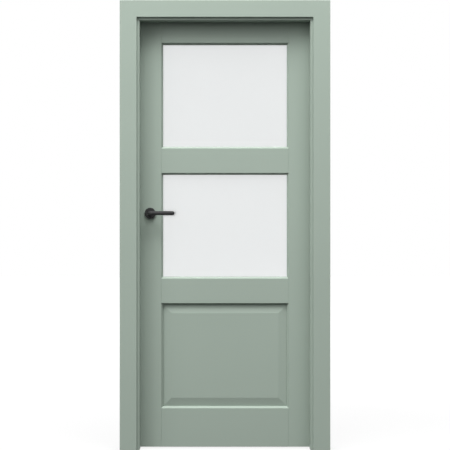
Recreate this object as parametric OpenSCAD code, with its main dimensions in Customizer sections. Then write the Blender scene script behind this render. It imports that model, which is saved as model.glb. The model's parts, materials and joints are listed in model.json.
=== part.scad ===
// Interior door with its frame: a rebated leaf with two frosted panes over a raised panel,
// hung on lift-off hinges in a mitred lining with casings on both sides of the wall.
// X runs across the doorway, Y from the push side to the hinge side, Z up from the floor.

/* [Doorway] */
// Clear width between the jambs
clear_w = 800; // [700:1:900]
// Clear height under the head
clear_h = 2013; // [1950:1:2150]
// Thickness of the wall that the frame lines
wall_t = 80; // [70:1:140]

/* [Jambs and head] */
// Thickness of a jamb, from the passage to the wall
jamb_t = 44; // [40:1:52]
// Width of the stop that the leaf closes against
stop_w = 12; // [10:1:14]
// Width of the nose that the leaf laps over
nose_w = 12; // [11:1:14]
// Eased edge on the corners of the woodwork
arris = 1; // [0.5:0.1:1.5]
// Width of the groove that holds the closing seal
seal_groove_w = 3; // [2:0.5:4]
// Depth of that groove
seal_groove_h = 6; // [4:0.5:8]
// Width of the closing seal's soft lip
seal_lip_w = 7; // [6:0.5:8]

/* [Casings] */
// Width of the front casings
casing_w = 79; // [60:1:100]
// Thickness of the casings
casing_t = 12; // [10:1:16]
// Step from the jamb's passage face to the front casing
casing_step = 13; // [8:1:16]
// Thickness of the loose tongues that plug the front casings into the jambs
tongue_t = 6; // [5:0.5:8]
// Depth of those tongues in the jambs
tongue_len = 22; // [15:1:30]
// Depth of those tongues in the casings
tongue_sink = 5; // [3:0.5:6]

/* [Leaf] */
// Overall thickness of the leaf
leaf_t = 40; // [39:0.5:46]
// Thickness of the flange that laps over the frame
flange_t = 15; // [14:0.5:16]
// Width of that lap
lap_w = 13; // [12:0.5:14]
// Gap between the leaf and the rebate beside it
side_gap = 3; // [2:0.5:4]
// Gap between the leaf and the stop, filled by the closing seal
stop_gap = 3; // [2:0.5:5]
// Gap between the flange and the frame behind it
lap_gap = 2; // [1:0.5:4]
// Gap between the leaf and the floor
floor_gap = 5; // [3:1:12]
// Width of a stile from its rebated edge to the openings
stile_w = 108; // [100:1:130]
// Height of the top rail from its rebated edge to the opening
top_rail_h = 106; // [90:1:130]
// Height of the two middle rails
mid_rail_h = 117.5; // [90:0.5:140]
// Height of the bottom rail
bottom_rail_h = 183; // [120:1:240]
// Height of the lowest opening, which holds the raised panel
panel_h = 496; // [400:1:600]
// Diameter of the dowels between stiles and rails
dowel_d = 12; // [8:1:14]
// Length of those dowels
dowel_len = 80; // [60:2:100]
// Clearance in glued and screwed joints
joint_gap = 0.1; // [0.05:0.05:0.3]

/* [Panes and panel] */
// Thickness of the frosted panes
glass_t = 4; // [3:0.5:6]
// Wall of the rubber channel on the edge of each pane
glass_seal_t = 1; // [1:0.5:2.5]
// Width of the beads, from the edge of the opening inwards
bead_w = 7.5; // [5:0.5:12]
// Depth of the beads' sloping face
bead_slope = 12; // [6:0.5:15]
// Thickness of the raised panel at its field
panel_t = 22; // [18:1:28]
// Thickness of the panel's edge between the beads
panel_edge_t = 8; // [6:1:12]
// Width of the bevel round the field
bevel_w = 40; // [25:1:60]
// Room left round panes and panel in their openings
pane_gap = 1; // [1:0.5:2.5]

/* [Hinges] */
// Diameter of the hinge knuckles
knuckle_d = 15; // [13:0.5:16]
// Length of one knuckle
knuckle_len = 38; // [30:1:50]
// Thickness of the closed end of a knuckle
knuckle_end = 6; // [4:0.5:8]
// Gap between a knuckle and the edge of the leaf
knuckle_gap = 1; // [0.5:0.5:2]
// Diameter of the hinge pins
hinge_pin_d = 8; // [6:0.5:9]
// Diameter of the threaded studs
stud_d = 8; // [6:0.5:9]
// Length of the studs in the wood
stud_len = 42; // [30:1:50]
// Thickness of the washer between two knuckles
washer_t = 1.5; // [1:0.1:3]
// Height of the lowest hinge above the floor
hinge_low_z = 250; // [200:5:400]
// Distance of the highest hinge below the top of the leaf
hinge_top_drop = 240; // [180:5:400]
// Running clearance of pins, hubs and necks, on the radius
running_gap = 0.05; // [0.02:0.01:0.1]

/* [Lock and latch] */
// Height of the lever axis above the floor
handle_z = 1110; // [950:1:1180]
// Distance from the edge of the leaf to the lever axis
backset = 55; // [50:1:60]
// Height of the lock case
lock_h = 150; // [130:1:170]
// Depth of the lock case behind the forend
lock_d = 78; // [76:1:85]
// Thickness of the lock case
lock_t = 15; // [14:0.5:17]
// Sheet thickness of the lock case and its cover
lock_wall = 1.5; // [1:0.1:2]
// Thickness of the forend
forend_t = 3; // [2:0.5:4]
// Width of the forend
forend_w = 20; // [18:0.5:22]
// Height of the forend
forend_h = 200; // [180:1:235]
// How far the latch stands out of the forend
latch_travel = 12; // [10:0.5:14]
// Height of the latch head
latch_h = 20; // [16:1:24]
// Length of the latch head inside the forend
latch_in = 18; // [14:1:20]
// Side clearance of the sliding latch
slide_gap = 0.2; // [0.1:0.05:0.3]
// Diameter of the latch spring's wire
spring_wire_d = 1; // [0.8:0.1:1.2]
// Turns of the latch spring
spring_turns = 7; // [5:1:8]
// Height of the strike plate
strike_h = 120; // [90:1:160]
// Width of the strike plate
strike_w = 18; // [17:0.5:20]
// Thickness of the strike plate
strike_t = 2; // [1.5:0.5:3]

/* [Levers and roses] */
// Diameter of the lever bar
lever_d = 19.5; // [17:0.5:22]
// Reach of a lever from its axis to its tip
lever_len = 116.5; // [100:0.5:140]
// How far a lever stands off the leaf
lever_out = 60; // [52:1:70]
// Radius of the lever's bend, on its middle line
lever_bend_r = 12; // [10:1:20]
// Turn of the lever from rest to its stop
lever_swing = 40; // [30:1:45]
// Diameter of the roses
rose_d = 52; // [50:1:56]
// Height of the roses
rose_h = 9; // [8.5:0.5:12]
// Wall of the rose covers
rose_wall = 1.5; // [1:0.1:2]
// Thickness of the base plate inside a rose
rose_base_t = 4; // [3:0.5:4.5]
// Distance between the bolts that join the two roses
rose_bolt_span = 38; // [36:0.5:39]
// Diameter of those bolts
rose_bolt_d = 4; // [3:0.5:5]
// Side of the square spindle
spindle_w = 8; // [7:0.5:9]
// Length of spindle inside each lever
spindle_in = 22; // [18:1:26]

/* [Corner brackets] */
// Length of a bracket leg on the wall side of the frame's mitres
bracket_len = 60; // [45:1:80]
// Width of a bracket
bracket_w = 30; // [20:1:40]
// Thickness of a bracket
bracket_t = 2; // [1.5:0.5:3]

/* [Screws] */
// Shank diameter of the wood screws
screw_d = 4; // [3:0.5:4.5]
// Head diameter of the wood screws
screw_head_d = 7.5; // [6.5:0.5:8]
// Length of the wood screws behind their plates
screw_len = 9; // [6:1:9]

/* [Hidden] */
$fn = 48;

// Colours of the finishes
sage = [0.60, 0.66, 0.61];
frosted = [0.90, 0.92, 0.92];
black_metal = [0.16, 0.16, 0.16];
zinc = [0.72, 0.73, 0.74];
rubber = [0.35, 0.37, 0.36];
nylon = [0.88, 0.88, 0.86];
beech = [0.80, 0.66, 0.47];

// Overlap that carries a cut past the face it starts from
over = 1;

// Depths, from the face of the front casing to the outside of the back lever
depth_all = casing_t + wall_t + casing_t + lap_gap + flange_t + lever_out;
y_front = -depth_all / 2;
y_jamb = y_front + casing_t;
y_wall_back = y_jamb + wall_t;
y_back = y_wall_back + casing_t;
y_flange = y_back + lap_gap;
y_leaf_back = y_flange + flange_t;
y_leaf = y_leaf_back - leaf_t;
y_stop = y_leaf - stop_gap;
y_mid = (y_leaf + y_leaf_back) / 2;
y_lock = (y_leaf + y_flange) / 2;
y_hinge = (y_flange + y_leaf_back) / 2;

// Widths, from the middle of the doorway outwards
x_clear = clear_w / 2;
x_rebate = x_clear + stop_w;
x_edge = x_rebate - side_gap;
x_lap = x_edge + lap_w;
x_open = x_edge - stile_w;
x_axis = x_lap + knuckle_gap + knuckle_d / 2;

// Heights, from the floor up
z_foot = floor_gap;
z_edge = clear_h + stop_w - side_gap;
z_lap = z_edge + lap_w;
pane_h = (z_edge - z_foot - top_rail_h - bottom_rail_h - 2 * mid_rail_h - panel_h) / 2;
panel_opening = 0;
function open_h(i) = i == panel_opening ? panel_h : pane_h;
function open_z(i) =
    i == panel_opening ? z_foot + bottom_rail_h : open_z(i - 1) + open_h(i - 1) + mid_rail_h;
rail_spans = [
    [z_foot, open_z(0)],
    [open_z(0) + open_h(0), open_z(1)],
    [open_z(1) + open_h(1), open_z(2)],
    [open_z(2) + open_h(2), z_edge]
];
dowel_shares = [0.25, 0.75];
hinge_high_z = z_lap - hinge_top_drop;
hinge_z = [hinge_low_z, (hinge_low_z + hinge_high_z) / 2, hinge_high_z];

// Frame sections: u runs outwards from the passage face, over a jamb or up from the head
nose_u = stop_w + nose_w;
frame_u = casing_step + casing_w;
seal_u = (stop_w - seal_groove_w) / 2;
lip_u = (stop_w - seal_lip_w) / 2;
lip_slope = 1;
seal_leaf_gap = 0.3;
y_lip = y_stop + stop_gap - seal_leaf_gap;
groove_end = 2;
y_tongue = y_jamb - tongue_sink;
jamb_section = [
    [arris, y_jamb], [0, y_jamb + arris],
    [0, y_stop - arris], [arris, y_stop],
    [seal_u, y_stop], [seal_u, y_stop - seal_groove_h],
    [seal_u + seal_groove_w, y_stop - seal_groove_h], [seal_u + seal_groove_w, y_stop],
    [stop_w, y_stop], [stop_w, y_back - arris], [stop_w + arris, y_back],
    [nose_u, y_back], [nose_u, y_wall_back],
    [jamb_t, y_wall_back], [jamb_t, y_jamb],
    [nose_u + tongue_t + joint_gap, y_jamb],
    [nose_u + tongue_t + joint_gap, y_jamb + tongue_len + groove_end],
    [nose_u - joint_gap, y_jamb + tongue_len + groove_end],
    [nose_u - joint_gap, y_jamb]
];
casing_front_section = [
    [casing_step, y_front + arris], [casing_step + arris, y_front],
    [frame_u - arris, y_front], [frame_u, y_front + arris], [frame_u, y_jamb],
    [nose_u + tongue_t + joint_gap, y_jamb], [nose_u + tongue_t + joint_gap, y_tongue - joint_gap],
    [nose_u - joint_gap, y_tongue - joint_gap], [nose_u - joint_gap, y_jamb], [casing_step, y_jamb]
];
casing_back_section = [
    [nose_u, y_wall_back], [nose_u, y_back - arris], [nose_u + arris, y_back],
    [frame_u - arris, y_back], [frame_u, y_back - arris], [frame_u, y_wall_back]
];
seal_section = [
    [seal_u + joint_gap, y_stop - seal_groove_h + joint_gap],
    [seal_u + seal_groove_w - joint_gap, y_stop - seal_groove_h + joint_gap],
    [seal_u + seal_groove_w - joint_gap, y_stop],
    [lip_u + seal_lip_w, y_stop], [lip_u + seal_lip_w - lip_slope, y_lip],
    [lip_u + lip_slope, y_lip], [lip_u, y_stop], [seal_u + joint_gap, y_stop]
];

// Leaf sections
stile_section = [
    [x_open, y_leaf + arris], [x_open + arris, y_leaf],
    [x_edge - arris, y_leaf], [x_edge, y_leaf + arris], [x_edge, y_flange],
    [x_lap, y_flange], [x_lap, y_leaf_back - arris], [x_lap - arris, y_leaf_back],
    [x_open + arris, y_leaf_back], [x_open, y_leaf_back - arris]
];
rail_plan = [
    [arris - x_open, y_leaf], [x_open - arris, y_leaf],
    [x_open, y_leaf + arris], [x_open, y_leaf_back - arris],
    [x_open - arris, y_leaf_back], [arris - x_open, y_leaf_back],
    [-x_open, y_leaf_back - arris], [-x_open, y_leaf + arris]
];
top_rail_section = [
    [y_leaf, rail_spans[3][0] + arris], [y_leaf + arris, rail_spans[3][0]],
    [y_leaf_back - arris, rail_spans[3][0]], [y_leaf_back, rail_spans[3][0] + arris],
    [y_leaf_back, z_lap - arris], [y_leaf_back - arris, z_lap],
    [y_flange, z_lap], [y_flange, z_edge],
    [y_leaf + arris, z_edge], [y_leaf, z_edge - arris]
];
function rail_section(span) = [
    [y_leaf, span[0] + arris], [y_leaf + arris, span[0]],
    [y_leaf_back - arris, span[0]], [y_leaf_back, span[0] + arris],
    [y_leaf_back, span[1] - arris], [y_leaf_back - arris, span[1]],
    [y_leaf + arris, span[1]], [y_leaf, span[1] - arris]
];

// Panes and panel: the beads close on the panel's edge or on the seal of a pane
glass_in = pane_gap + glass_seal_t;
seal_set = 0.5;
function bead_seat(i) = i == panel_opening ? panel_edge_t / 2 : glass_t / 2 + glass_seal_t;
function panel_outline(half) = [
    [pane_gap - half, -panel_edge_t / 2], [bead_w - half, -panel_edge_t / 2],
    [bead_w + bevel_w - half, -panel_t / 2], [half - bead_w - bevel_w, -panel_t / 2],
    [half - bead_w, -panel_edge_t / 2], [half - pane_gap, -panel_edge_t / 2],
    [half - pane_gap, panel_edge_t / 2], [half - bead_w, panel_edge_t / 2],
    [half - bead_w - bevel_w, panel_t / 2], [bead_w + bevel_w - half, panel_t / 2],
    [bead_w - half, panel_edge_t / 2], [pane_gap - half, panel_edge_t / 2]
];

// Hinges
knuckle_edge = 1;
pin_play = 0.5;
frame_stud_reach = flange_t / 2 + lap_gap + stud_len;
leaf_stud_reach = knuckle_d / 2 + knuckle_gap + stud_len;
frame_stud_z = -washer_t - knuckle_len / 2;
leaf_stud_z = knuckle_len / 2;

// Latch and follower: the follower's arm swings evenly either side of upright,
// and its length draws the latch in by its whole travel
arm_r = latch_travel / (2 * sin(lever_swing / 2));
arm_tip_r = 3;
arm_w = 4;
hub_r = 9;
hub_room = 2;
tail_h = 6;
tail_w = 5;
tail_gap = 1;
latch_t = lock_t - 2 * lock_wall - 2 * slide_gap;
latch_z = arm_r + arm_tip_r + tail_gap + tail_h / 2;
latch_tip_t = 2;
lug_gap = 0.3;
lug_t = 6;
lug_s = backset - latch_travel / 2 + arm_tip_r + lug_gap;
lug_z = arm_r * cos(lever_swing / 2) - arm_tip_r / 2;
spring_short = (spring_turns + 2) * spring_wire_d;
guide_s = latch_in + latch_travel + spring_short;
guide_t = 2;
spring_r = 5;
spring_sides = 6;
spring_steps = 14;
mortise_gap = 0.5;
boss_d = 7;
cover_screw_d = 3;
cover_screw_head_d = 5;
cover_screw_inset = 9;
forend_screw_inset = 10;
strike_play = 1;
strike_screw_inset = 12;
latch_reach = latch_travel - side_gap + strike_play;

// Levers and roses
neck_in = 1;
bend_start = lever_out - lever_d / 2 - lever_bend_r;
neck_gap = 0.3;
rose_edge = 1.5;
rose_snap = 0.2;
bolt_room = 0.5;
bolt_head_d = 7;
bolt_head_h = 2.5;
grub_d = 5;
grub_set = 0.5;
grub_out = rose_h + grub_d;

// Corner brackets lie just under the wall side of the frame
bracket_sink = 0.5;
bracket_u = jamb_t - bracket_sink;
bracket_screw_shares = [0.4, 0.8];
y_bracket = (y_jamb + y_wall_back) / 2;

// Extrusions of a flat outline: along X (outline in Y and Z) and along Y (outline in X and Z)
module across(length) rotate([90, 0, 90]) linear_extrude(length, center = true) children();
module facing(depth) rotate([90, 0, 0]) linear_extrude(depth, center = true) children();

// The same thing on the left of the doorway, or on the back of the leaf
module on_left() mirror([1, 0, 0]) children();
module on_back() translate([0, 2 * y_mid, 0]) mirror([0, 1, 0]) children();

// Round bar along Y, and a hole of the same kind
module bar_y(diameter, length) rotate([90, 0, 0]) cylinder(d = diameter, h = length, center = true);

// Countersunk screw that points along +Z from its face
module screw(diameter, head, length, gap = 0) rotate_extrude() polygon([
    [0, -gap], [head / 2 + gap, -gap], [head / 2 + gap, 0],
    [diameter / 2 + gap, (head - diameter) / 2],
    [diameter / 2 + gap, length - diameter / 2 + gap], [0, length + gap]
]);
module wood_screw(plate, gap = 0) screw(screw_d, screw_head_d, plate + screw_len, gap);

// Frame bars, mitred at the upper corners of the doorway
module side_bar(section) intersection() {
    linear_extrude(clear_h + frame_u + over) polygon([for (p = section) [x_clear + p[0], p[1]]]);
    facing(2 * depth_all) polygon([
        [x_clear - over, -over], [x_clear + frame_u + over, -over],
        [x_clear + frame_u + over, clear_h + frame_u + over], [x_clear - over, clear_h - over]
    ]);
}
module head_bar(section) intersection() {
    across(clear_w + 2 * frame_u + 2 * over) polygon([for (p = section) [p[1], clear_h + p[0]]]);
    facing(2 * depth_all) polygon([
        [over - x_clear, clear_h - over], [x_clear - over, clear_h - over],
        [x_clear + frame_u + over, clear_h + frame_u + over],
        [-x_clear - frame_u - over, clear_h + frame_u + over]
    ]);
}

// Corner brackets and the recesses they lie in
module bracket_outline(length, thick, out) polygon([
    [x_clear + out, clear_h + out], [x_clear + bracket_u - length, clear_h + out],
    [x_clear + bracket_u - length, clear_h + bracket_u - thick],
    [x_clear + bracket_u - thick, clear_h + bracket_u - thick],
    [x_clear + bracket_u - thick, clear_h + bracket_u - length], [x_clear + out, clear_h + bracket_u - length]
]);
module bracket_screws(gap = 0) for (share = bracket_screw_shares) {
    translate([x_clear + bracket_u, y_bracket, clear_h + bracket_u - share * bracket_len])
        rotate([0, -90, 0]) wood_screw(bracket_t, gap);
    translate([x_clear + bracket_u - share * bracket_len, y_bracket, clear_h + bracket_u])
        rotate([180, 0, 0]) wood_screw(bracket_t, gap);
}
module bracket() difference() {
    translate([0, y_bracket, 0]) facing(bracket_w) bracket_outline(bracket_len, bracket_t, bracket_u);
    bracket_screws(joint_gap);
}
module bracket_recess() {
    translate([0, y_bracket, 0]) facing(bracket_w + 2 * joint_gap)
        bracket_outline(bracket_len + joint_gap, bracket_t, jamb_t + over);
    bracket_screws(joint_gap);
}

// Hinges: a knuckle on the frame carries the pin, and the leaf's knuckle hangs on it
module at_hinge(k) translate([x_axis, y_hinge, hinge_z[k]]) children();
module knuckle() rotate_extrude() polygon([
    [0, 0], [knuckle_d / 2 - knuckle_edge, 0], [knuckle_d / 2, knuckle_edge],
    [knuckle_d / 2, knuckle_len - knuckle_edge], [knuckle_d / 2 - knuckle_edge, knuckle_len], [0, knuckle_len]
]);
module frame_stud(gap = 0) translate([0, 0, frame_stud_z])
    rotate([90, 0, 0]) cylinder(d = stud_d + 2 * gap, h = frame_stud_reach + gap);
module leaf_stud(gap = 0) translate([0, 0, leaf_stud_z])
    rotate([0, -90, 0]) cylinder(d = stud_d + 2 * gap, h = leaf_stud_reach + gap);
module hinge_frame(k) color(black_metal) at_hinge(k) difference() {
    union() {
        translate([0, 0, -washer_t - knuckle_len]) knuckle();
        frame_stud();
    }
    translate([0, 0, knuckle_end - washer_t - knuckle_len])
        cylinder(d = hinge_pin_d + 2 * running_gap, h = knuckle_len);
}
module hinge_leaf(k) color(black_metal) at_hinge(k) difference() {
    union() {
        knuckle();
        leaf_stud();
    }
    translate([0, 0, -over])
        cylinder(d = hinge_pin_d + 2 * running_gap, h = knuckle_len - knuckle_end + over);
}
module hinge_pins() color(zinc) for (k = [0 : len(hinge_z) - 1])
    at_hinge(k) translate([0, 0, knuckle_end - washer_t - knuckle_len])
        cylinder(d = hinge_pin_d, h = 2 * knuckle_len + washer_t - 2 * knuckle_end - pin_play);
module hinge_washers() color(nylon) for (k = [0 : len(hinge_z) - 1])
    at_hinge(k) translate([0, 0, -washer_t]) difference() {
        cylinder(d = knuckle_d, h = washer_t - running_gap);
        translate([0, 0, -over]) cylinder(d = hinge_pin_d + 2 * running_gap, h = washer_t + 2 * over);
    }

// Strike plate, set in the rebate of the left jamb where the latch enters
module at_strike() translate([-x_rebate, y_lock, handle_z + latch_z]) children();
module latch_way(depth) translate([-depth, -latch_t / 2 - strike_play, -latch_h / 2 - strike_play])
    cube([depth + over, latch_t + 2 * strike_play, latch_h + 2 * strike_play]);
module strike_screw_row(gap = 0) for (side = [-1, 1])
    translate([0, 0, side * (strike_h / 2 - strike_screw_inset)]) rotate([0, -90, 0]) wood_screw(strike_t, gap);
module strike_plate() color(zinc) at_strike() difference() {
    translate([-strike_t, -strike_w / 2, -strike_h / 2]) cube([strike_t, strike_w, strike_h]);
    latch_way(strike_t + over);
    strike_screw_row(joint_gap);
}
module strike_screws() color(zinc) at_strike() strike_screw_row();
module strike_recess() at_strike() {
    translate([-strike_t, -strike_w / 2 - joint_gap, -strike_h / 2 - joint_gap])
        cube([strike_t + over, strike_w + 2 * joint_gap, strike_h + 2 * joint_gap]);
    latch_way(latch_reach);
    strike_screw_row(joint_gap);
}

// Frame pieces
module jamb_left() color(sage) difference() {
    on_left() side_bar(jamb_section);
    on_left() bracket_recess();
    strike_recess();
}
module jamb_right() color(sage) difference() {
    side_bar(jamb_section);
    bracket_recess();
    for (k = [0 : len(hinge_z) - 1]) at_hinge(k) frame_stud(joint_gap);
}
module jamb_head() color(sage) difference() {
    head_bar(jamb_section);
    bracket_recess();
    on_left() bracket_recess();
}
module casing_front_left() color(sage) on_left() side_bar(casing_front_section);
module casing_front_right() color(sage) side_bar(casing_front_section);
module casing_front_head() color(sage) head_bar(casing_front_section);
module side_tongue() translate([x_clear + nose_u, y_tongue, 0])
    cube([tongue_t, tongue_sink + tongue_len, clear_h]);
module casing_tongues() color(beech) {
    side_tongue();
    on_left() side_tongue();
    translate([-x_clear, y_tongue, clear_h + nose_u]) cube([clear_w, tongue_sink + tongue_len, tongue_t]);
}
module casing_back_left() color(sage) on_left() side_bar(casing_back_section);
module casing_back_right() color(sage) difference() {
    side_bar(casing_back_section);
    for (k = [0 : len(hinge_z) - 1]) at_hinge(k) frame_stud(joint_gap);
}
module casing_back_head() color(sage) head_bar(casing_back_section);
module seal_left() color(rubber) on_left() side_bar(seal_section);
module seal_right() color(rubber) side_bar(seal_section);
module seal_head() color(rubber) head_bar(seal_section);
module corner_brackets() color(zinc) {
    bracket();
    on_left() bracket();
}
module corner_screws() color(zinc) {
    bracket_screws();
    on_left() bracket_screws();
}

// Dowels between stiles and rails
module each_dowel() for (side = [-1, 1], span = rail_spans, share = dowel_shares)
    translate([side * x_open, y_mid, span[0] + share * (span[1] - span[0])])
        rotate([0, 90, 0]) children();
module dowel_bores() each_dowel()
    cylinder(d = dowel_d + 2 * joint_gap, h = dowel_len + 2 * joint_gap, center = true);
module rail_dowels() color(beech) each_dowel() cylinder(d = dowel_d, h = dowel_len, center = true);

// Stiles run the full height, with the flange standing past the rebated top and edge
module stile() difference() {
    translate([0, 0, z_foot]) linear_extrude(z_lap - z_foot) polygon(stile_section);
    translate([0, y_leaf - over, z_edge]) cube([x_lap + over, y_flange - y_leaf + over, lap_w + over]);
    dowel_bores();
}
module stile_left() color(sage) difference() {
    on_left() stile();
    lock_mortise();
}
module stile_right() color(sage) difference() {
    stile();
    for (k = [0 : len(hinge_z) - 1]) at_hinge(k) leaf_stud(joint_gap);
}
module rail(section) color(sage) difference() {
    intersection() {
        across(2 * x_open) polygon(section);
        linear_extrude(z_lap + over) polygon(rail_plan);
    }
    dowel_bores();
}
module top_rail() rail(top_rail_section);
module upper_mid_rail() rail(rail_section(rail_spans[2]));
module lower_mid_rail() rail(rail_section(rail_spans[1]));
module bottom_rail() rail(rail_section(rail_spans[0]));

// Panes, panel and beads: opening 0 holds the panel, 1 the lower pane and 2 the upper pane
module opening_block(i, inset, thick) translate([0, y_mid, open_z(i) + open_h(i) / 2])
    cube([2 * (x_open - inset), thick, open_h(i) - 2 * inset], center = true);
module pane(i) color(frosted) opening_block(i, glass_in, glass_t);
module glass_upper() pane(2);
module glass_lower() pane(1);
module glazing_seal(i) color(rubber) difference() {
    opening_block(i, pane_gap, glass_t + 2 * glass_seal_t);
    opening_block(i, glass_in, glass_t);
    opening_block(i, bead_w - seal_set, leaf_t);
}
module glazing_seal_upper() glazing_seal(2);
module glazing_seal_lower() glazing_seal(1);
module raised_panel() color(sage) translate([0, y_mid, open_z(panel_opening) + panel_h / 2]) intersection() {
    linear_extrude(panel_h, center = true) polygon(panel_outline(x_open));
    across(2 * x_open) polygon([for (p = panel_outline(panel_h / 2)) [p[1], p[0]]]);
}
module bead_strip(length, seat) intersection() {
    across(length) polygon([
        [y_leaf + arris, joint_gap], [y_leaf + bead_slope, bead_w],
        [y_mid - seat, bead_w], [y_mid - seat, joint_gap]
    ]);
    facing(2 * depth_all) polygon([
        [joint_gap - over - length / 2, -over], [length / 2 + over - joint_gap, -over],
        [length / 2 - bead_w - over - joint_gap, bead_w + over],
        [bead_w + over + joint_gap - length / 2, bead_w + over]
    ]);
}
module bead_ring(i) color(sage) translate([0, 0, open_z(i) + open_h(i) / 2]) {
    for (side = [0, 1]) mirror([0, 0, side]) translate([0, 0, -open_h(i) / 2])
        bead_strip(2 * x_open, bead_seat(i));
    for (side = [0, 1]) mirror([side, 0, 0]) translate([-x_open, 0, 0])
        rotate([0, 90, 0]) bead_strip(open_h(i), bead_seat(i));
}
module beads_upper_front() bead_ring(2);
module beads_upper_back() on_back() bead_ring(2);
module beads_lower_front() bead_ring(1);
module beads_lower_back() on_back() bead_ring(1);
module beads_panel_front() bead_ring(panel_opening);
module beads_panel_back() on_back() bead_ring(panel_opening);

// Lock: X runs from the edge of the leaf inwards, and the lever axis is at the backset
module at_lock() translate([-x_edge, y_lock, handle_z]) children();
module rose_bolt_axes() for (side = [-1, 1])
    translate([backset + side * rose_bolt_span / 2, 0, 0]) children();
module cover_screw_axes() for (side = [-1, 1], x = [forend_t + cover_screw_inset, forend_t + lock_d - cover_screw_inset])
    translate([x, -lock_t / 2, side * (lock_h / 2 - cover_screw_inset)]) rotate([-90, 0, 0]) children();
module forend_screw_row(gap = 0) for (side = [-1, 1])
    translate([0, 0, side * (forend_h / 2 - forend_screw_inset)]) rotate([0, 90, 0]) wood_screw(forend_t, gap);
module latch_window(length) translate([-over, -latch_t / 2 - slide_gap, latch_z - latch_h / 2 - slide_gap])
    cube([length + over, latch_t + 2 * slide_gap, latch_h + 2 * slide_gap]);
module lock_block(inset, y0, y1) translate([forend_t + inset, y0, inset - lock_h / 2])
    cube([lock_d - 2 * inset, y1 - y0, lock_h - 2 * inset]);
module hub_bores() translate([backset, 0, 0]) bar_y(2 * (hub_r + running_gap), 2 * lock_t);
module lock_mortise() at_lock() {
    translate([-over, -lock_t / 2 - mortise_gap, -lock_h / 2 - mortise_gap])
        cube([over + forend_t + lock_d + mortise_gap, lock_t + 2 * mortise_gap, lock_h + 2 * mortise_gap]);
    translate([-over, -forend_w / 2 - joint_gap, -forend_h / 2 - joint_gap])
        cube([over + forend_t, forend_w + 2 * joint_gap, forend_h + 2 * joint_gap]);
    translate([backset, 0, 0]) bar_y(2 * (hub_r + hub_room), 2 * leaf_t);
    rose_bolt_axes() bar_y(rose_bolt_d + 2 * bolt_room, 2 * leaf_t);
    forend_screw_row(joint_gap);
}
module latch_guide() difference() {
    translate([guide_s, lock_wall - lock_t / 2, latch_z - latch_h / 2])
        cube([guide_t, lock_t - 2 * lock_wall, latch_h]);
    translate([guide_s - over, -lock_t, latch_z - tail_h / 2 - slide_gap])
        cube([guide_t + 2 * over, lock_t + tail_w / 2 + slide_gap, tail_h + 2 * slide_gap]);
}
module lock_case() color(zinc) at_lock() {
    difference() {
        lock_block(0, lock_wall - lock_t / 2, lock_t / 2);
        difference() {
            lock_block(lock_wall, -lock_t, lock_t / 2 - lock_wall);
            cover_screw_axes() cylinder(d = boss_d, h = lock_t);
        }
        latch_window(forend_t + 2 * lock_wall);
        hub_bores();
        rose_bolt_axes() bar_y(rose_bolt_d + 2 * bolt_room, 2 * lock_t);
        cover_screw_axes() screw(cover_screw_d, cover_screw_head_d, lock_t - 2 * lock_wall, joint_gap);
    }
    latch_guide();
}
module lock_cover() color(zinc) at_lock() difference() {
    lock_block(0, -lock_t / 2, lock_wall - lock_t / 2);
    hub_bores();
    rose_bolt_axes() bar_y(rose_bolt_d + 2 * bolt_room, 2 * lock_t);
    cover_screw_axes() screw(cover_screw_d, cover_screw_head_d, lock_t, joint_gap);
}
module lock_screws() color(zinc) at_lock()
    cover_screw_axes() screw(cover_screw_d, cover_screw_head_d, lock_t - 2 * lock_wall);
module lock_forend() color(zinc) at_lock() difference() {
    translate([0, -forend_w / 2, -forend_h / 2]) cube([forend_t, forend_w, forend_h]);
    latch_window(forend_t + over);
    forend_screw_row(joint_gap);
}
module forend_screws() color(zinc) at_lock() forend_screw_row();

// Follower: a hub on the spindle, with an arm that draws the latch in
module lock_follower() color(zinc) at_lock() translate([backset, 0, 0]) difference() {
    union() {
        bar_y(2 * hub_r, lock_t);
        facing(latch_t) rotate(lever_swing / 2) {
            translate([-arm_w / 2, 0]) square([arm_w, arm_r]);
            translate([0, arm_r]) circle(r = arm_tip_r);
        }
    }
    facing(2 * lock_t) square(spindle_w + 2 * joint_gap, center = true);
}

// Latch: a head bevelled on its closing side, a tail through the guide, and a lug for the arm
module latch_bolt() color(zinc) at_lock() {
    translate([0, 0, latch_z - latch_h / 2]) linear_extrude(latch_h) polygon([
        [-latch_travel, latch_t / 2], [-latch_travel, latch_t / 2 - latch_tip_t],
        [-side_gap / 2, -latch_t / 2], [latch_in, -latch_t / 2], [latch_in, latch_t / 2]
    ]);
    translate([latch_in, -tail_w / 2, latch_z - tail_h / 2]) cube([lug_s + lug_t - latch_in, tail_w, tail_h]);
    translate([lug_s, -tail_w / 2, lug_z]) cube([lug_t, tail_w, latch_z - lug_z]);
}

// Latch spring: round wire swept along a helix between the latch head and the guide
spring_len = guide_s - latch_in - spring_wire_d;
spring_count = spring_turns * spring_steps;
function spring_point(i, j) =
    let (turn = 360 * i / spring_steps, side = 360 * j / spring_sides,
         r = spring_r + spring_wire_d / 2 * cos(side))
    [latch_in + spring_wire_d / 2 + spring_len * i / spring_count + spring_wire_d / 2 * sin(side),
     r * cos(turn), latch_z + r * sin(turn)];
module latch_spring() color(zinc) at_lock() polyhedron(
    points = [for (i = [0 : spring_count], j = [0 : spring_sides - 1]) spring_point(i, j)],
    faces = concat(
        [[for (j = [0 : spring_sides - 1]) j]],
        [for (i = [0 : spring_count - 1], j = [0 : spring_sides - 1])
            let (a = i * spring_sides, k = (j + 1) % spring_sides)
            [a + j, a + spring_sides + j, a + spring_sides + k, a + k]],
        [[for (j = [spring_sides - 1 : -1 : 0]) spring_count * spring_sides + j]]
    )
);

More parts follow.
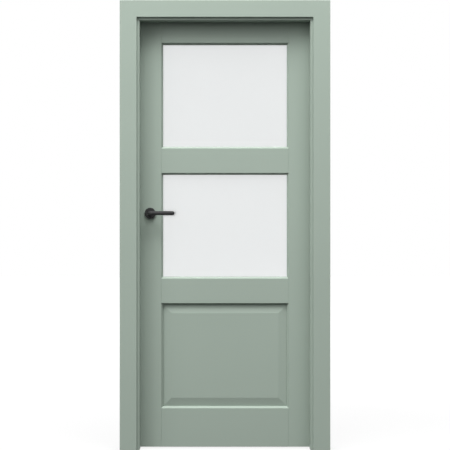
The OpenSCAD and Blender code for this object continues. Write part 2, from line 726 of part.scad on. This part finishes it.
// Roses and levers: Z runs out of the leaf along the lever axis, Y up and X towards the tip
module at_lever() translate([backset - x_edge, y_leaf, handle_z]) rotate([90, 0, 0]) children();
module rose_base() color(zinc) at_lever() difference() {
    cylinder(r = rose_d / 2 - rose_wall - rose_snap, h = rose_base_t);
    translate([0, 0, -over]) cylinder(d = lever_d + 2 * running_gap, h = rose_base_t + 2 * over);
    for (side = [-1, 1]) translate([side * rose_bolt_span / 2, 0, -over])
        cylinder(d = rose_bolt_d + 2 * joint_gap, h = rose_base_t + 2 * over);
}
module rose_cover() color(black_metal) at_lever() rotate_extrude() difference() {
    union() {
        square([rose_d / 2, rose_h - rose_edge]);
        square([rose_d / 2 - rose_edge, rose_h]);
        translate([rose_d / 2 - rose_edge, rose_h - rose_edge]) circle(r = rose_edge);
    }
    translate([0, -over]) square([rose_d / 2 - rose_wall, rose_h - rose_wall + over]);
    square([lever_d / 2 + neck_gap, rose_h + over]);
}
module rose_base_front() rose_base();
module rose_base_back() on_back() rose_base();
module rose_cover_front() rose_cover();
module rose_cover_back() on_back() rose_cover();
module rose_bolts() color(zinc) at_lever() for (side = [-1, 1])
    translate([side * rose_bolt_span / 2, 0, -leaf_t - rose_base_t]) rotate_extrude() polygon([
        [0, -bolt_head_h], [bolt_head_d / 2, -bolt_head_h], [bolt_head_d / 2, 0],
        [rose_bolt_d / 2, 0], [rose_bolt_d / 2, leaf_t + 2 * rose_base_t],
        [bolt_head_d / 2, leaf_t + 2 * rose_base_t],
        [bolt_head_d / 2, leaf_t + 2 * rose_base_t + bolt_head_h], [0, leaf_t + 2 * rose_base_t + bolt_head_h]
    ]);
module lever_bar_outline(length) {
    square([lever_d / 2, length - lever_d / 2]);
    translate([0, length - lever_d / 2]) intersection() {
        circle(d = lever_d);
        square(lever_d / 2);
    }
}
module grub_screw() translate([0, 0, grub_out]) rotate([90, 0, 0])
    translate([0, 0, spindle_w / 2]) cylinder(d = grub_d, h = lever_d / 2 - spindle_w / 2 - grub_set);
module lever() color(black_metal) at_lever() difference() {
    union() {
        translate([0, 0, neck_in]) cylinder(d = lever_d, h = bend_start - neck_in);
        translate([lever_bend_r, 0, bend_start]) rotate([90, 0, 0]) rotate([0, 0, 90])
            rotate_extrude(angle = 90) translate([lever_bend_r, 0]) circle(d = lever_d);
        translate([lever_bend_r, 0, bend_start + lever_bend_r]) rotate([0, 90, 0])
            rotate_extrude() lever_bar_outline(lever_len - lever_bend_r);
    }
    linear_extrude(spindle_in + neck_in) square(spindle_w + 2 * joint_gap, center = true);
    translate([0, 0, grub_out]) rotate([90, 0, 0]) cylinder(d = grub_d + 2 * joint_gap, h = lever_d);
}
module lever_front() lever();
module lever_back() on_back() lever();
module spindle() color(zinc) translate([backset - x_edge, y_mid, handle_z])
    facing(leaf_t + 2 * spindle_in) square(spindle_w, center = true);
module lever_grub_screws() color(zinc) {
    at_lever() grub_screw();
    on_back() at_lever() grub_screw();
}

// The pieces
jamb_left();
jamb_right();
jamb_head();
casing_front_left();
casing_front_right();
casing_front_head();
casing_tongues();
casing_back_left();
casing_back_right();
casing_back_head();
seal_left();
seal_right();
seal_head();
corner_brackets();
corner_screws();
strike_plate();
strike_screws();
hinge_frame(0);  // hinge_frame_lower
hinge_frame(1);  // hinge_frame_middle
hinge_frame(2);  // hinge_frame_upper
hinge_pins();
hinge_washers();
stile_left();
stile_right();
top_rail();
upper_mid_rail();
lower_mid_rail();
bottom_rail();
rail_dowels();
raised_panel();
glass_upper();
glass_lower();
glazing_seal_upper();
glazing_seal_lower();
beads_upper_front();
beads_upper_back();
beads_lower_front();
beads_lower_back();
beads_panel_front();
beads_panel_back();
hinge_leaf(0);  // hinge_leaf_lower
hinge_leaf(1);  // hinge_leaf_middle
hinge_leaf(2);  // hinge_leaf_upper
lock_case();
lock_cover();
lock_forend();
lock_screws();
forend_screws();
latch_spring();
rose_base_front();
rose_base_back();
rose_cover_front();
rose_cover_back();
rose_bolts();
lever_front();
lever_back();
spindle();
lever_grub_screws();
lock_follower();
latch_bolt();
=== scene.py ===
import json
import math
from collections import namedtuple

import bmesh
import bpy
from mathutils import Matrix, Vector


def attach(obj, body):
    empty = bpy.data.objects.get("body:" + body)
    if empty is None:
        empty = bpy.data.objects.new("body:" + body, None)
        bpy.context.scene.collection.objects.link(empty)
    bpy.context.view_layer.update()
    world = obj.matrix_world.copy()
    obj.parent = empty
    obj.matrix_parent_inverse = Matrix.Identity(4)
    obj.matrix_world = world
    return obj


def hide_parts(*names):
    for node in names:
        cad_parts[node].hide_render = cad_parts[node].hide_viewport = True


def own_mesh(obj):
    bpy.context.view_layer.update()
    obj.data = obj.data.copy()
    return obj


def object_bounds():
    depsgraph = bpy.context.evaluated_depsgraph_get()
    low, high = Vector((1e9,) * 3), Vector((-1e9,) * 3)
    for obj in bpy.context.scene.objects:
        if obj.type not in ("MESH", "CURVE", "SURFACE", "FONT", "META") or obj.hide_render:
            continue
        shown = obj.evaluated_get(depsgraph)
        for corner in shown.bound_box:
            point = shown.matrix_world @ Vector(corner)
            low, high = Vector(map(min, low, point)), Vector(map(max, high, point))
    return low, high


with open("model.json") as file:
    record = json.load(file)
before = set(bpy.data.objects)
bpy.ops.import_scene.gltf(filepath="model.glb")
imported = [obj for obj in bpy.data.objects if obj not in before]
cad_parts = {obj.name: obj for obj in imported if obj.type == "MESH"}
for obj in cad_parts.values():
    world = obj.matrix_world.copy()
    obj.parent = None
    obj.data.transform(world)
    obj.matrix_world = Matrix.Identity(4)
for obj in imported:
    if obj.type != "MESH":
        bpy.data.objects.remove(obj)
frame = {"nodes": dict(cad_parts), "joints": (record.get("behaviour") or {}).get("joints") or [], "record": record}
cad_low, cad_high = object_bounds()
scene = bpy.context.scene
scene.view_settings.view_transform = "Standard"

# Finishes, as linear colours
SAGE = (0.330, 0.394, 0.342, 1)
SAGE_DEEP = (0.322, 0.385, 0.334, 1)
FROST = (0.836, 0.851, 0.851, 1)
FROST_THIN = (0.821, 0.837, 0.838, 1)
BLACK = (0.029, 0.029, 0.030, 1)
BLACK_WORN = (0.040, 0.040, 0.040, 1)
ZINC = (0.45, 0.455, 0.465, 1)
ZINC_WARM = (0.415, 0.41, 0.395, 1)
RUBBER = (0.050, 0.058, 0.052, 1)
RUBBER_DUSTY = (0.075, 0.085, 0.078, 1)
NYLON = (0.74, 0.73, 0.69, 1)
NYLON_WARM = (0.68, 0.66, 0.60, 1)
BEECH = (0.52, 0.34, 0.19, 1)
BEECH_DARK = (0.36, 0.20, 0.10, 1)

# The part of a noise's values that a colour or a roughness is spread over
COLOUR_SPAN = (0.35, 0.65)
ROUGHNESS_SPAN = (0.3, 0.7)

# Cross recesses in the heads of the screws, in metres
SCREWS = ("forend_screws", "strike_screws", "corner_screws")
RECESS_LENGTH = 0.0044
RECESS_WIDTH = 0.0010
RECESS_DEPTH = 0.0014
WELD = 1e-6
CREASE = math.radians(30)

# Camera: level and straight on, in metres, with its sensor in millimetres
EYE_DISTANCE = 6.0
EYE_HEIGHT = 1.0543
VIEW_WIDTH = 2.1015
SENSOR = 36.0

# Studio light: square soft boxes that face the middle of the object. The azimuth from the front and
# the elevation are in degrees, the distance and the side in metres. None is seen through the glass,
# and those at the back aren't reflected in the object either.
SoftBox = namedtuple("SoftBox", "azimuth elevation distance side radiance reflected")
SOFT_BOXES = {
    "high": SoftBox(28, 68, 7.0, 3.1, 10.9, True),
    "key": SoftBox(-28, 55, 9.0, 4.0, 7.7, True),
    "left": SoftBox(-55, 25, 9.0, 4.0, 4.3, True),
    "right": SoftBox(28, 25, 9.0, 4.0, 0.8, True),
    "back_left": SoftBox(-125, 15, 9.0, 7.0, 3.1, False),
    "back_right": SoftBox(125, 15, 9.0, 7.0, 3.1, False),
}
WATTS_PER_RADIANCE = 4.0
WHITE = (1, 1, 1, 1)
WORLD_FILL = 0.48
WORLD_SEEN = 1.0

# Floor, in metres: dark for the light that it throws up, and white to look at, with a glow that
# rises over a distance from the object
FLOOR_HALF = 20.0
FLOOR_DROP = 0.0005
FLOOR_BOUNCE = (0.02, 0.02, 0.02, 1)
FLOOR_SHADE = (0.1, 0.1, 0.1, 1)
FLOOR_GLOW = (0.82, 1.0)
FLOOR_FADE = (1.5, 6.0)


def set_inputs(node, sockets):
    """Sets a node's inputs by name, with _ for a space."""
    for socket, value in sockets.items():
        node.inputs[socket.replace("_", " ")].default_value = value


def add_node(tree, kind, **sockets):
    node = tree.nodes.new("ShaderNode" + kind)
    set_inputs(node, sockets)
    return node


def spread(tree, value, source, target):
    """A value mapped from one span to another, and held at its ends."""
    node = add_node(tree, "MapRange", From_Min=source[0], From_Max=source[1],
                    To_Min=target[0], To_Max=target[1])
    tree.links.new(value, node.inputs["Value"])
    return node.outputs["Result"]


class Shader:
    """One procedural material: a principled shader and the textures that feed it."""

    def __init__(self, name, **sockets):
        self.material = bpy.data.materials.new(name)
        self.material.use_nodes = True
        self.tree = self.material.node_tree
        self.bsdf = self.tree.nodes["Principled BSDF"]
        self.place = add_node(self.tree, "TexCoord").outputs["Object"]
        set_inputs(self.bsdf, sockets)

    def link(self, output, node_input):
        self.tree.links.new(output, node_input)

    def stretched(self, scale):
        """Place in metres, drawn out along an axis where scale is small."""
        node = add_node(self.tree, "Mapping", Scale=scale)
        self.link(self.place, node.inputs["Vector"])
        return node.outputs["Vector"]

    def noise(self, scale, detail=2.0, place=None):
        node = add_node(self.tree, "TexNoise", Scale=scale, Detail=detail)
        self.link(place or self.place, node.inputs["Vector"])
        return node.outputs["Fac"]

    def colour(self, value, low, high, span=COLOUR_SPAN):
        node = add_node(self.tree, "ValToRGB")
        for stop, position, shade in zip(node.color_ramp.elements, span, (low, high)):
            stop.position, stop.color = position, shade
        self.link(value, node.inputs["Fac"])
        self.link(node.outputs["Color"], self.bsdf.inputs["Base Color"])

    def roughness(self, value, low, high):
        self.link(spread(self.tree, value, ROUGHNESS_SPAN, (low, high)),
                  self.bsdf.inputs["Roughness"])

    def bump(self, height, depth, strength):
        """Relief of a depth in metres, over any relief that was added before."""
        node = add_node(self.tree, "Bump", Strength=strength, Distance=depth)
        self.link(height, node.inputs["Height"])
        normal = self.bsdf.inputs["Normal"]
        if normal.is_linked:
            self.link(normal.links[0].from_socket, node.inputs["Normal"])
        self.link(node.outputs["Normal"], normal)


def painted_wood():
    """Satin paint: a roller's orange peel over long, shallow waves of the board."""
    s = Shader("painted_wood", Specular_IOR_Level=0.12)
    s.colour(s.noise(scale=2.2, detail=3), low=SAGE_DEEP, high=SAGE)
    s.roughness(s.noise(scale=35, detail=3), low=0.52, high=0.62)
    s.bump(s.noise(scale=14), depth=0.0006, strength=0.25)
    s.bump(s.noise(scale=620), depth=0.00012, strength=0.35)
    return s.material


def frosted_glass():
    """Etched white glass: light comes through it softly, and its face has a fine tooth."""
    s = Shader("frosted_glass", Transmission_Weight=0.90, IOR=1.48)
    s.colour(s.noise(scale=1.6), low=FROST_THIN, high=FROST)
    s.roughness(s.noise(scale=80), low=0.28, high=0.34)
    s.bump(s.noise(scale=1800), depth=0.00005, strength=0.2)
    return s.material


def black_metal():
    """Powder coat: fine pebbles, a little greyer where hands rub it."""
    s = Shader("black_metal", Specular_IOR_Level=0.15)
    s.colour(s.noise(scale=45, detail=4), low=BLACK, high=BLACK_WORN, span=(0.45, 0.75))
    s.roughness(s.noise(scale=260), low=0.50, high=0.62)
    s.bump(s.noise(scale=1500), depth=0.00008, strength=0.3)
    return s.material


def zinc_steel():
    """Zinc plate over rolled steel: short streaks along Z and a faint warm cast."""
    s = Shader("zinc_steel", Metallic=1.0)
    streaks = s.noise(scale=900, detail=3, place=s.stretched((1, 1, 0.08)))
    s.colour(s.noise(scale=70, detail=3), low=ZINC_WARM, high=ZINC)
    s.roughness(streaks, low=0.38, high=0.50)
    s.bump(streaks, depth=0.00002, strength=0.2)
    return s.material


def seal_rubber():
    """Soft extruded rubber, dull and a little dusty."""
    s = Shader("seal_rubber", Specular_IOR_Level=0.3)
    s.colour(s.noise(scale=60, detail=4), low=RUBBER, high=RUBBER_DUSTY)
    s.roughness(s.noise(scale=140), low=0.68, high=0.82)
    s.bump(s.noise(scale=900), depth=0.00006, strength=0.3)
    return s.material


def nylon():
    """Natural nylon, slightly yellow and smooth from the mould."""
    s = Shader("nylon", Subsurface_Weight=0.1, Subsurface_Scale=0.001)
    s.colour(s.noise(scale=120), low=NYLON_WARM, high=NYLON)
    s.roughness(s.noise(scale=200), low=0.36, high=0.46)
    s.bump(s.noise(scale=1200), depth=0.00004, strength=0.2)
    return s.material


def beech():
    """Bare beech: flecks and pores drawn out along the grain, which runs along X."""
    s = Shader("beech", Specular_IOR_Level=0.3)
    flecks = s.noise(scale=420, detail=4, place=s.stretched((0.06, 1, 1)))
    s.colour(flecks, low=BEECH_DARK, high=BEECH, span=(0.30, 0.62))
    s.roughness(flecks, low=0.55, high=0.72)
    s.bump(flecks, depth=0.00008, strength=0.4)
    return s.material


FINISHES = {make.__name__: make() for make in
            (painted_wood, frosted_glass, black_metal, zinc_steel, seal_rubber, nylon, beech)}
BODY_OF = {node: body for body, nodes in frame["record"]["behaviour"]["bodies"].items()
           for node in nodes}


def finish(piece, slot):
    piece.data.materials.clear()
    piece.data.materials.append(FINISHES[slot])


def stand_in(piece, node):
    """Shows a piece of plated steel in place of a node, on the same body."""
    finish(piece, "zinc_steel")
    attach(piece, BODY_OF[node])
    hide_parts(node)


def mesh_object(name, mesh):
    """A new object with the mesh that was built, which is freed."""
    data = bpy.data.meshes.new(name)
    mesh.to_mesh(data)
    mesh.free()
    piece = bpy.data.objects.new(name, data)
    scene.collection.objects.link(piece)
    return piece


def solids(mesh):
    """The points of each separate solid in a mesh."""
    seen = set()
    for first in mesh.verts:
        if first in seen:
            continue
        seen.add(first)
        reached = [first]
        for vert in reached:
            near = [edge.other_vert(vert) for edge in vert.link_edges]
            reached += [other for other in near if other not in seen]
            seen.update(near)
        yield [vert.co for vert in reached]


def screw_head(points):
    """The middle of a countersunk screw's head, and the axis that the screw lies along."""
    low, high = (Vector([end(p[i] for p in points) for i in range(3)]) for end in (min, max))
    along = max(range(3), key=lambda i: high[i] - low[i])
    middle = (low + high) / 2
    widest = max(points, key=lambda p: (p - middle).length)
    middle[along] = widest[along]
    return middle, along


def slots(name, heads, turn):
    """One slot across each head, along the first or second axis of the head's face."""
    mesh = bmesh.new()
    for middle, along in heads:
        size = [RECESS_WIDTH] * 3
        size[along] = 2 * RECESS_DEPTH
        size[(along + turn) % 3] = RECESS_LENGTH
        bmesh.ops.create_cube(mesh, matrix=Matrix.LocRotScale(middle, None, Vector(size)))
    return mesh_object(name, mesh)


def recessed_screws(node):
    """The node's screws again, with a cross recess in each head."""
    mesh = bmesh.new()
    mesh.from_mesh(frame["nodes"][node].data)
    bmesh.ops.remove_doubles(mesh, verts=mesh.verts, dist=WELD)
    heads = [screw_head(points) for points in solids(mesh)]
    piece = mesh_object(node + "_recessed", mesh)
    cutters = [slots(f"{node}_slots_{turn}", heads, turn) for turn in (1, 2)]
    for cutter in cutters:
        cut = piece.modifiers.new(cutter.name, "BOOLEAN")
        cut.operation, cut.solver, cut.object = "DIFFERENCE", "EXACT", cutter
    evaluated = piece.evaluated_get(bpy.context.evaluated_depsgraph_get())
    done = bpy.data.meshes.new_from_object(evaluated)
    piece.modifiers.clear()
    piece.data = done
    for cutter in cutters:
        bpy.data.objects.remove(cutter)
    if "custom_normal" in done.attributes:
        done.attributes.remove(done.attributes["custom_normal"])
    done.shade_smooth()
    done.set_sharp_from_angle(angle=CREASE)
    stand_in(piece, node)


def squeezed_spring():
    """The latch spring again, in plated steel on the same body in place of the node; the latch slide's axis is
    looked up but not used.
    """
    data = frame["nodes"]["latch_spring"].data.copy()
    piece = bpy.data.objects.new("latch_spring_squeezed", data)
    scene.collection.objects.link(piece)
    stand_in(piece, "latch_spring")
    slide = next(joint for joint in frame["joints"] if joint["name"] == "latch_slide")
    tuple(slide["axis"])
    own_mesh(piece)


def white_rays(tree):
    """1 for rays that should find a white studio: from the camera, or off or through a surface."""
    path = add_node(tree, "LightPath")
    total = path.outputs["Is Camera Ray"]
    for ray in ("Is Glossy Ray", "Is Transmission Ray"):
        node = add_node(tree, "Math")
        node.operation = "MAXIMUM"
        tree.links.new(total, node.inputs[0])
        tree.links.new(path.outputs[ray], node.inputs[1])
        total = node.outputs["Value"]
    return total


def floor_glow(tree):
    """Light of the floor's own, fainter near the object, so that its shadow shows there."""
    away = add_node(tree, "VectorMath")
    away.operation = "LENGTH"
    tree.links.new(add_node(tree, "TexCoord").outputs["Object"], away.inputs[0])
    glow = add_node(tree, "Emission")
    tree.links.new(spread(tree, away.outputs["Value"], FLOOR_FADE, FLOOR_GLOW),
                   glow.inputs["Strength"])
    return glow.outputs["Emission"]


def studio_floor():
    """A white floor that keeps shadows, and that throws little light up at the object."""
    bpy.ops.mesh.primitive_plane_add(size=2 * FLOOR_HALF, location=(0, 0, -FLOOR_DROP))
    floor = bpy.context.object
    floor.name = "floor"
    material = bpy.data.materials.new("floor_white")
    material.use_nodes = True
    tree = material.node_tree
    tree.nodes.remove(tree.nodes["Principled BSDF"])
    dim = add_node(tree, "BsdfDiffuse", Color=FLOOR_BOUNCE)
    lit = add_node(tree, "BsdfDiffuse", Color=FLOOR_SHADE)
    both = add_node(tree, "AddShader")
    tree.links.new(lit.outputs["BSDF"], both.inputs[0])
    tree.links.new(floor_glow(tree), both.inputs[1])
    mix = add_node(tree, "MixShader")
    tree.links.new(white_rays(tree), mix.inputs["Fac"])
    tree.links.new(dim.outputs["BSDF"], mix.inputs[1])
    tree.links.new(both.outputs["Shader"], mix.inputs[2])
    tree.links.new(mix.outputs["Shader"], tree.nodes["Material Output"].inputs["Surface"])
    floor.data.materials.append(material)


def studio_world():
    """White to look at, and a dimmer even fill for the light that falls on the object."""
    world = bpy.data.worlds.new("studio")
    world.use_nodes = True
    tree = world.node_tree
    background = tree.nodes["Background"]
    background.inputs["Color"].default_value = WHITE
    tree.links.new(spread(tree, white_rays(tree), (0, 1), (WORLD_FILL, WORLD_SEEN)),
                   background.inputs["Strength"])
    scene.world = world


def studio_lights():
    middle = (cad_low + cad_high) / 2
    for name, box in SOFT_BOXES.items():
        data = bpy.data.lights.new(name, "AREA")
        data.shape = "SQUARE"
        data.size = box.side
        data.energy = box.radiance * WATTS_PER_RADIANCE * box.side ** 2
        turn, rise = math.radians(box.azimuth), math.radians(box.elevation)
        away = Vector((math.sin(turn) * math.cos(rise),
                       -math.cos(turn) * math.cos(rise),
                       math.sin(rise)))
        light = bpy.data.objects.new(name, data)
        light.location = middle + box.distance * away
        light.rotation_euler = (-away).to_track_quat("-Z", "Y").to_euler()
        light.visible_camera = False
        light.visible_transmission = False
        light.visible_glossy = box.reflected
        scene.collection.objects.link(light)


def camera():
    data = bpy.data.cameras.new("camera")
    data.sensor_width = SENSOR
    data.lens = SENSOR * EYE_DISTANCE / VIEW_WIDTH
    eye = bpy.data.objects.new("camera", data)
    eye.location = (0, cad_low.y - EYE_DISTANCE, EYE_HEIGHT)
    eye.rotation_euler = (math.pi / 2, 0, 0)
    scene.collection.objects.link(eye)
    scene.camera = eye


for subpart in frame["record"]["subparts"]:
    finish(frame["nodes"][subpart["node"]], subpart["material_slot"])
for screws in SCREWS:
    recessed_screws(screws)
squeezed_spring()
studio_floor()
studio_world()
studio_lights()
camera()
